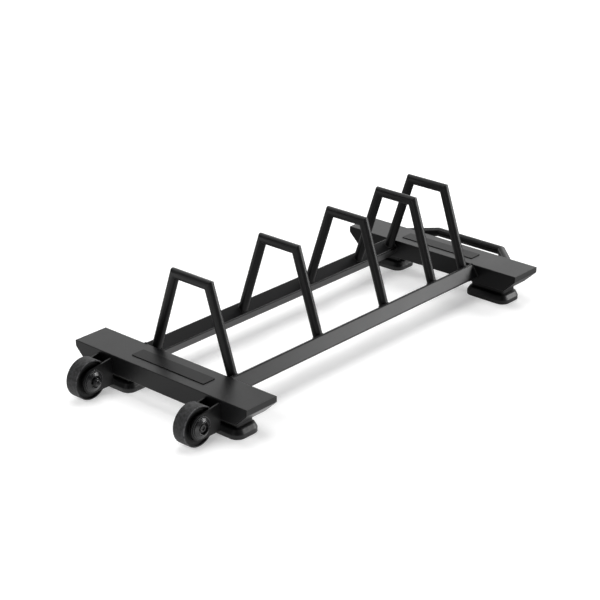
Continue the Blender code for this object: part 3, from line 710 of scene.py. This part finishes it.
fittings = []
for name, (side, middle, half) in wheels.items():
    for place, sign in (("inner", -1), ("outer", 1)):
        node = f"{name}_{place}_domed_washer"
        low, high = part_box(node)
        seat = min(abs(low.y - middle[1]), abs(high.y - middle[1]))
        crown = high.y - low.y
        rim = (high.x - low.x) / 2
        corners = [(BOLT_HOLE, 0.0), (BOLT_HOLE, WASHER_SEAT), (WASHER_RECESS, WASHER_SEAT),
                   (WASHER_RECESS, crown), (WASHER_CROWN, crown), (WASHER_SHOULDER, crown - WASHER_FALL),
                   (WASHER_SHOULDER, WASHER_SEAT), (rim, WASHER_SEAT), (rim, 0.0)]
        profile = softened(corners, WASHER_SOFT, WASHER_STEPS, closed=True)
        mesh = turned_piece(f"{node}_disc", (profile + (0, seat)) * (1, sign), middle, side)
        fittings.append(show(mesh, black_steel, "frame", "black_steel", node))

    node = f"{name}_axle_bolt"
    low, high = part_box(node)
    tip, face = ends_outward(node, middle, side)
    head = (high.x - low.x) / 2
    under = face - HEAD_HEIGHT
    profile = softened([(SHANK_END_FLAT, tip), (SHANK_RADIUS, tip), (SHANK_RADIUS, under), (head, under),
                        (head, face), (SOCKET_CLEAR, face)], BOLT_SOFT)
    socket = [about_axle(hexagon(SOCKET_ACROSS), outward) for outward in (face, face - SOCKET_DEPTH)]
    mesh = turned_piece(f"{node}_screw", profile, middle, side, wrap=False, extra=socket)
    fittings.append(show(mesh, black_steel, "frame", "black_steel", node))

    # The nut's hexagon is cut off round at both faces by a 30 degree cone, and a dome closes its far end.
    tip, seat = ends_outward(f"{name}_axle_nut", middle, side)
    rings = [about_axle(BOLT_HOLE, seat - NUT_DEPTH), about_axle(BOLT_HOLE, seat)]
    chamfer = np.linspace(0, NUT_CHAMFER, NUT_CHAMFER_STEPS)
    for depth in np.concatenate([chamfer, NUT_HEX_HEIGHT - chamfer[::-1]]):
        cone = NUT_FACE * NUT_ACROSS / 2 + NUT_CHAMFER_SLOPE * min(depth, NUT_HEX_HEIGHT - depth)
        rings.append(about_axle(np.minimum(hexagon(NUT_ACROSS), cone), seat - depth))
    rings.append(about_axle(NUT_DOME, seat - NUT_HEX_HEIGHT))
    for turn in np.linspace(0, NUT_DOME_TURN, NUT_DOME_STEPS):
        rings.append(about_axle(NUT_DOME * math.cos(turn), tip + NUT_DOME * (1 - math.sin(turn))))
    mesh = skin(f"{name}_cap_nut", np.array(rings) * (side, side, 1) + middle)
    fittings.append(show(mesh, black_steel, "frame", "black_steel", f"{name}_axle_nut"))


# Foot boxes: short lengths of 108 x 52 mm steel box under the beams, coated with the frame. A piece like
# this is skinned through level outlines; its flat faces begin a little inside their edges, at a RIM.
BOX_CORNER = 0.005
BOX_RIM = 0.004
BOX_EDGE = 0.0006
FEET = [f"{end}_{name}" for end in beams for name in SIDES]


def stacked(name, node, corner, levels, steps=CORNER_STEPS):
    """A skin through level outlines over the middle of a node: for each (height, inset), the node's
    rectangle with rounded corners, moved in by inset all round."""
    low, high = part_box(node)
    middle = (low + high) / 2
    size = high - low
    rings = []
    for height, inset in levels:
        outline = rounded_box(size.x - 2 * inset, size.y - 2 * inset, corner - inset, steps)
        rings.append(np.insert(outline + (middle.x, middle.y), 2, height, axis=1))
    return skin(name, np.array(rings))


def slab_levels(node, rim, edge):
    """The levels of a plain slab over a node's height, its upper and lower edges eased."""
    low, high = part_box(node)
    return softened([(low.z, rim), (low.z, 0.0), (high.z, 0.0), (high.z, rim)], (0, edge, edge, 0))


for foot in FEET:
    node = f"{foot}_foot_box"
    box = stacked(f"{node}_shell", node, BOX_CORNER, slab_levels(node, BOX_RIM, BOX_EDGE))
    show(box, black_coat, "frame", "black_powder_coat", node)


# Rubber feet: moulded pads with an upright side, a broad sloping shoulder and soft edges. The recesses for
# their screws don't show, so the soles are plain here. Glossier than the tyres, and not scuffed.
PAD_CORNER = 0.0245
PAD_CORNER_STEPS = 12
PAD_SIDE_TOP = 0.0115
PAD_SHOULDER_TOP = 0.0232
PAD_SHOULDER_INSET = 0.0065
PAD_CROWN_INSET = 0.0105
PAD_SOLE_RIM = 0.006
PAD_CROWN_RIM = 0.004
PAD_SOFT = (0, 0.002, 0.002, 0.0015, 0.0008, 0)
PAD_COLOURS = ("#0e0e0f", "#151516")
PAD_ROUGHNESS = (0.39, 0.49)
PAD_STIPPLE_MM = (1.4, 0.06)

foot_rubber = rubber("moulded foot rubber", PAD_COLOURS, PAD_ROUGHNESS, PAD_STIPPLE_MM)
for foot in FEET:
    node = f"{foot}_rubber_foot"
    low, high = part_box(node)
    levels = softened([(low.z, PAD_SOLE_RIM), (low.z, 0.0), (PAD_SIDE_TOP, 0.0),
                       (PAD_SHOULDER_TOP, PAD_SHOULDER_INSET), (high.z, PAD_CROWN_INSET),
                       (high.z, PAD_CROWN_INSET + PAD_CROWN_RIM)], PAD_SOFT)
    pad = stacked(f"{foot}_rubber_pad", node, PAD_CORNER, levels, PAD_CORNER_STEPS)
    show(pad, foot_rubber, "frame", "foot_rubber", node)


# Bare plates: 1.5 mm steel on the beams' tops, under a coat of their own that is a shade darker than the
# beams' and mirrors less.
PLATE_CORNER = 0.003
PLATE_RIM = 0.001
PLATE_EDGE = 0.0003
PLATE_COLOURS = ("#09090a", "#0b0b0c")
PLATE_ROUGHNESS = (0.37, 0.43)
PLATE_IOR = 1.25

plate_coat = powder_coat("matt black plate coat", PLATE_COLOURS, PLATE_ROUGHNESS, PLATE_IOR)
for end in beams:
    node = f"{end}_plate"
    plate = stacked(f"{end}_bare_plate", node, PLATE_CORNER, slab_levels(node, PLATE_RIM, PLATE_EDGE))
    show(plate, plate_coat, "frame", "plate_coat", node)


# Foot screws, hidden in the pads: zinc plated, two to a foot, from below through the pad into its box. They
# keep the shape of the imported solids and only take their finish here.
for foot in FEET:
    for number in (1, 2):
        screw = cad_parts[f"{foot}_foot_screw_{number}"]
        screw.data.materials.clear()
        screw.data.materials.append(bright_steel)


# Floor: a white sheet that takes the cart's soft shadow, and glows more farther out to run into the white
# room. Reflections see it darker, but for some glows. Each glow has a strength, and ramps that are
# multiplied: an axis, with the place where the ramp starts and the place where it is full.
FLOOR_HALF = 14.0
FLOOR_WHITE = 0.71
FLOOR_NEAR_GLOW = 0.37
FLOOR_GLOW_FROM = 0.6
FLOOR_GLOW_TO = 3.0
MIRRORED_WHITE = 0.10
MIRRORED_GLOWS = (
    # All over, growing towards the wheel end
    (0.38, (("X", 0.30, -1.10),)),
    # The whole right side, most of all
    (0.80, (("Y", -0.15, -0.42),)),
    # The whole left side
    (0.20, (("Y", 0.15, 0.45),)),
    # Before the wheels
    (0.38, (("X", -0.50, -0.75),)),
    # Under the cart
    (0.18, (("X", -0.75, -0.50), ("X", 0.75, 0.50), ("Y", -0.45, -0.15), ("Y", 0.45, 0.15))),
    # A strip along the left rail
    (0.40, (("X", -0.75, -0.50), ("X", 0.75, 0.50), ("Y", 0.04, 0.11), ("Y", 0.24, 0.16))),
    # A patch beside the right rail, close to the wheel end beam
    (0.55, (("X", -0.52, -0.44), ("X", -0.26, -0.34), ("Y", -0.30, -0.24), ("Y", -0.12, -0.16))),
)

mesh = bpy.data.meshes.new("studio_floor")
corners = FLOOR_HALF * np.array([(-1, -1, 0), (1, -1, 0), (1, 1, 0), (-1, 1, 0)])
mesh.from_pydata(corners.tolist(), [], [(0, 1, 2, 3)])
studio_floor = bpy.data.objects.new("studio_floor", mesh)
bpy.context.scene.collection.objects.link(studio_floor)
white = bpy.data.materials.new("white studio floor")
white.use_nodes = True
tree = white.node_tree
tree.nodes.clear()
in_view = add(tree, "ShaderNodeLightPath").outputs["Is Camera Ray"]
spot = add(tree, "ShaderNodeTexCoord").outputs["Object"]
out = add(tree, "ShaderNodeVectorMath", {"operation": "LENGTH"}, in_0=spot).outputs["Value"]
apart = add(tree, "ShaderNodeSeparateXYZ", Vector=spot).outputs
glow = add(tree, "ShaderNodeMapRange", Value=out, From_Min=FLOOR_GLOW_FROM, From_Max=FLOOR_GLOW_TO,
           To_Min=FLOOR_NEAR_GLOW, To_Max=1.0).outputs["Result"]
mirrored = 0.0
for strength, ramps in MIRRORED_GLOWS:
    pool = strength
    for axis, start, full in ramps:
        part = add(tree, "ShaderNodeMapRange", {"interpolation_type": "SMOOTHSTEP"}, Value=apart[axis],
                   From_Min=start, From_Max=full, To_Min=0.0, To_Max=1.0).outputs["Result"]
        pool = add(tree, "ShaderNodeMath", {"operation": "MULTIPLY"}, in_0=part, in_1=pool).outputs[0]
    mirrored = add(tree, "ShaderNodeMath", {"operation": "ADD"}, in_0=pool, in_1=mirrored).outputs[0]
faces = []
for level, shine in ((MIRRORED_WHITE, mirrored), (FLOOR_WHITE, glow)):
    matt = add(tree, "ShaderNodeBsdfDiffuse", Color=(level, level, level, 1.0))
    own = add(tree, "ShaderNodeEmission", Strength=shine)
    faces.append(add(tree, "ShaderNodeAddShader", in_0=matt.outputs[0], in_1=own.outputs[0]).outputs[0])
both = add(tree, "ShaderNodeMixShader", in_0=in_view, in_1=faces[0], in_2=faces[1])
add(tree, "ShaderNodeOutputMaterial", Surface=both.outputs[0])
mesh.materials.append(white)


# Room: white to the camera. For the light it is dark but for two bright walls, beyond the cart's left side
# and beyond its handle end. Each is given as the azimuth and elevation of its middle in degrees and its
# strength, and fades out over WALL_SPREAD.
WALLS = (((150.0, 12.0), 1.17), ((90.0, 12.0), 0.98))
WALL_SPREAD = math.radians(53)
WHITE = (1.0, 1.0, 1.0, 1.0)

world = bpy.data.worlds.new("studio room")
bpy.context.scene.world = world
world.use_nodes = True
tree = world.node_tree
tree.nodes.clear()
way = add(tree, "ShaderNodeTexCoord").outputs["Generated"]
lit = 0.0
for (azimuth, elevation), strength in WALLS:
    middle = direction(math.radians(azimuth), math.radians(elevation))
    nearness = add(tree, "ShaderNodeVectorMath", {"operation": "DOT_PRODUCT"}, in_0=way, in_1=middle)
    wall = add(tree, "ShaderNodeMapRange", {"interpolation_type": "SMOOTHSTEP"},
               Value=nearness.outputs["Value"], From_Min=math.cos(WALL_SPREAD), From_Max=1.0,
               To_Min=0.0, To_Max=strength)
    lit = add(tree, "ShaderNodeMath", {"operation": "ADD"}, in_0=wall.outputs["Result"], in_1=lit).outputs[0]
seen = add(tree, "ShaderNodeLightPath").outputs
clear = add(tree, "ShaderNodeMath", {"operation": "MAXIMUM"}, in_0=seen["Is Camera Ray"],
            in_1=seen["Is Transmission Ray"])
level = add(tree, "ShaderNodeMix", {"data_type": "FLOAT"}, in_0=clear.outputs[0], in_2=lit, in_3=1.0)
room = add(tree, "ShaderNodeBackground", Color=WHITE, Strength=level.outputs[0])
add(tree, "ShaderNodeOutputWorld", Surface=room.outputs[0])


# Light: a large soft lamp above lights all. A bright low box beyond the right side, which the right rail
# mirrors, and two weak fills beyond the wheel end leave the floor out. Two washes light the floor alone,
# which keeps it white and the shadow short. A small lamp lights the wheels' fittings alone, and the beam
# doesn't stop it.
def soft_lamp(name, spot, target, width, height, radiance):
    """A square-cornered soft box at spot, facing target, whose face shines with radiance and isn't seen
    itself."""
    data = bpy.data.lights.new(name, "AREA")
    data.shape = "RECTANGLE"
    data.size = width
    data.size_y = height
    data.energy = radiance * math.pi * width * height
    lamp = bpy.data.objects.new(name, data)
    lamp.visible_camera = False
    bpy.context.scene.collection.objects.link(lamp)
    aim(lamp, Vector(spot), Vector(target))
    return lamp


def light_only(state, items, *lamps):
    """Lets lamps light these items alone, with the state INCLUDE, or everything but them, with EXCLUDE."""
    receivers = bpy.data.collections.new(f"{lamps[0].name} receivers")
    for item in items:
        receivers.objects.link(item)
    for link in receivers.collection_objects:
        link.light_linking.link_state = state
    for lamp in lamps:
        lamp.light_linking.receiver_collection = receivers


soft_lamp("overhead lamp", (-0.061, 0.366, 3.102), VIEW_TARGET, width=2.3, height=2.3, radiance=3.5)
right_box = soft_lamp("right box", (2.292, -2.046, 0.845), VIEW_TARGET, width=1.5, height=1.3, radiance=8.55)
front_fill = soft_lamp("front fill", (-2.30, 0.35, 0.75), (-0.45, 0.0, 0.08),
                       width=1.2, height=1.0, radiance=1.0)
back_fill = soft_lamp("back fill", (-1.85, 1.66, 1.10), (-0.10, 0.0, 0.10),
                      width=1.2, height=1.0, radiance=0.9)
light_only("EXCLUDE", [studio_floor], right_box, front_fill, back_fill)
washes = [soft_lamp(name, (x, 0.0, 1.7), (0.0, 0.0, 0.0), width=2.6, height=1.6, radiance=4.65)
          for name, x in (("front floor wash", -2.6), ("rear floor wash", 2.6))]
light_only("INCLUDE", [studio_floor], *washes)
gleam = soft_lamp("gleam on the fittings", (1.57, -2.13, 0.75), (-0.64, 0.0, 0.07),
                  width=0.45, height=0.45, radiance=62.0)
light_only("INCLUDE", fittings, gleam)
gleam.light_linking.blocker_collection = gleam.light_linking.receiver_collection

bpy.context.scene.view_settings.view_transform = "Standard"
